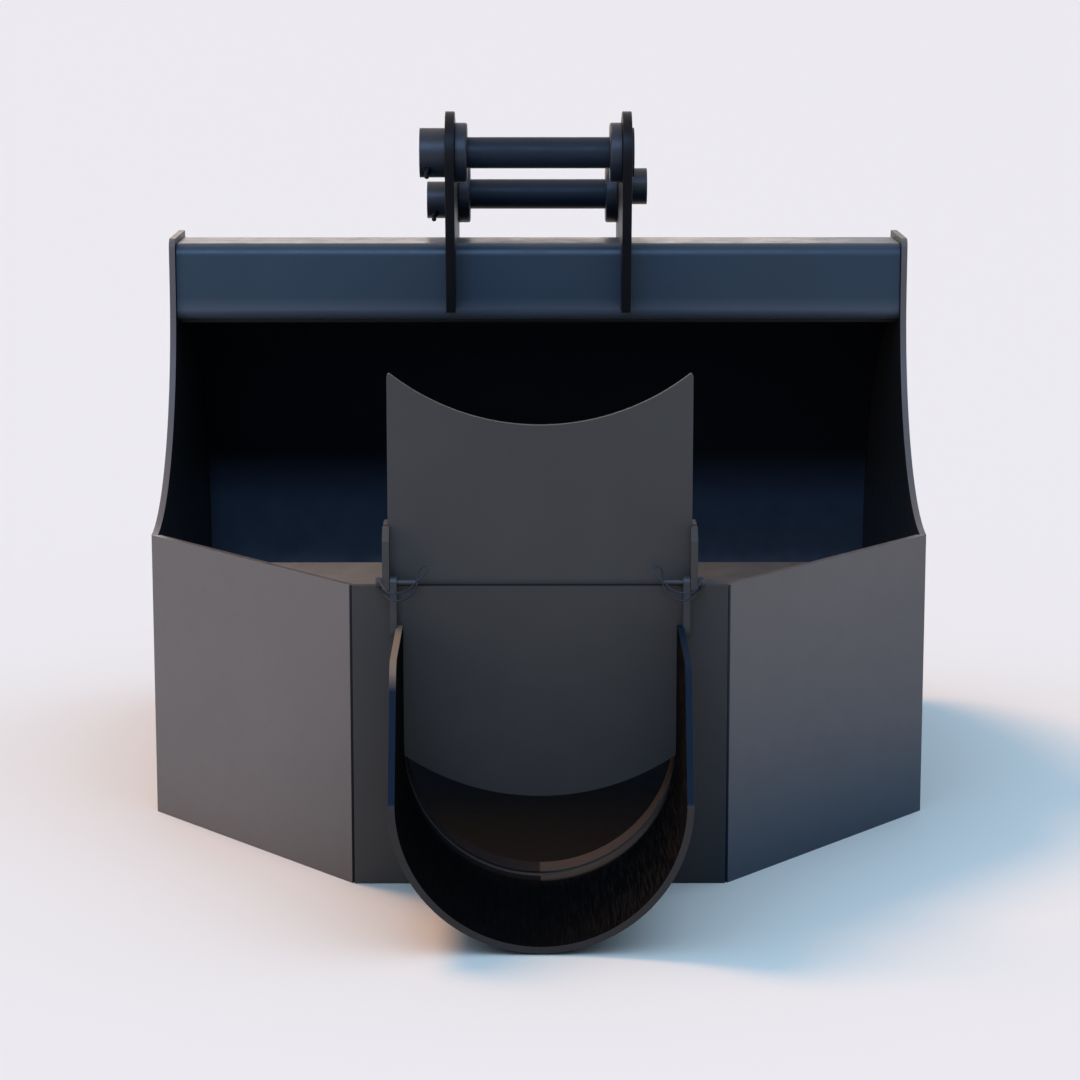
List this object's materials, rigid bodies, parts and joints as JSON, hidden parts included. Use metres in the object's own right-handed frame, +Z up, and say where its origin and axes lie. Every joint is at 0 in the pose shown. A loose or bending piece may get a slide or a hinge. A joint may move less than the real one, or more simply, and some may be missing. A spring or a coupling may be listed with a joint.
{
  "type": "concrete pouring bucket",
  "caption": "Wide excavator bucket for pouring concrete: pointed prow, round outlet with lifting gate, half-round chute on locking pins, two-pin hitch.",
  "frame": {"origin": "middle of the box round the whole part, on the plane that it stands on", "axes": "+X to the right when facing the prow, along the bucket's width; +Y from the chute towards the bucket's back; +Z up"},
  "size_m": [1.2, 1.578, 1.078],
  "materials": {
    "bucket_steel": "satin dark grey paint",
    "beam_steel": "semi-gloss dark blue-grey paint",
    "gate_steel": "worn satin grey paint",
    "chute_steel": "satin charcoal paint",
    "hitch_paint": "satin charcoal paint",
    "pin_steel": "oiled dark steel",
    "lock_steel": "satin dark grey paint on hardware"
  },
  "bodies": {
    "bucket": {"back_shell": "bucket_steel", "floor_plate": "bucket_steel", "side_plate_left": "bucket_steel", "side_plate_right": "bucket_steel", "lip_beam": "beam_steel", "wing_panel_left": "bucket_steel", "wing_panel_right": "bucket_steel", "front_panel": "bucket_steel", "deck_plate": "bucket_steel", "outlet_collar": "bucket_steel", "gate_guide_left": "gate_steel", "gate_guide_right": "gate_steel", "hitch_ear_left": "hitch_paint", "hitch_ear_right": "hitch_paint", "front_boss_left": "hitch_paint", "front_boss_right": "hitch_paint", "rear_boss_left": "hitch_paint", "rear_boss_right": "hitch_paint", "front_hitch_pin": "pin_steel", "front_pin_head": "pin_steel", "front_pin_ring": "pin_steel", "rear_hitch_pin": "pin_steel", "rear_pin_head": "pin_steel", "rear_pin_cap": "pin_steel", "grease_nipples": "lock_steel"},
    "gate": {"gate_plate": "gate_steel"},
    "chute": {"chute_trough": "chute_steel", "chute_lug_left": "chute_steel", "chute_lug_right": "chute_steel"},
    "lock_pin_left": {"lock_pin_left": "lock_steel"},
    "lock_pin_right": {"lock_pin_right": "lock_steel"},
    "bail_left": {"lock_bail_left": "lock_steel"},
    "bail_right": {"lock_bail_right": "lock_steel"}
  },
  "joints": [
    {"name": "gate_slide", "type": "slide", "parent": "bucket", "child": "gate", "axis": [0, 0, 1], "range_m": [-0.123, 0]},
    {"name": "chute_swing", "type": "hinge", "parent": "bucket", "child": "chute", "pos_m": [0, -0.464, 0.4487], "axis": [-1, 0, 0], "range_deg": [0, 20]},
    {"name": "lock_pin_left_slide", "type": "slide", "parent": "bucket", "child": "lock_pin_left", "axis": [-1, 0, 0], "range_m": [0, 0.02]},
    {"name": "lock_pin_right_slide", "type": "slide", "parent": "bucket", "child": "lock_pin_right", "axis": [1, 0, 0], "range_m": [0, 0.02]},
    {"name": "bail_left_swing", "type": "hinge", "parent": "lock_pin_left", "child": "bail_left", "pos_m": [-0.2295, -0.464, 0.4487], "axis": [0, 0.4226, -0.9063], "range_deg": [0, 100]},
    {"name": "bail_right_swing", "type": "hinge", "parent": "lock_pin_right", "child": "bail_right", "pos_m": [0.2295, -0.464, 0.4487], "axis": [0, -0.4226, 0.9063], "range_deg": [0, 100]}
  ]
}
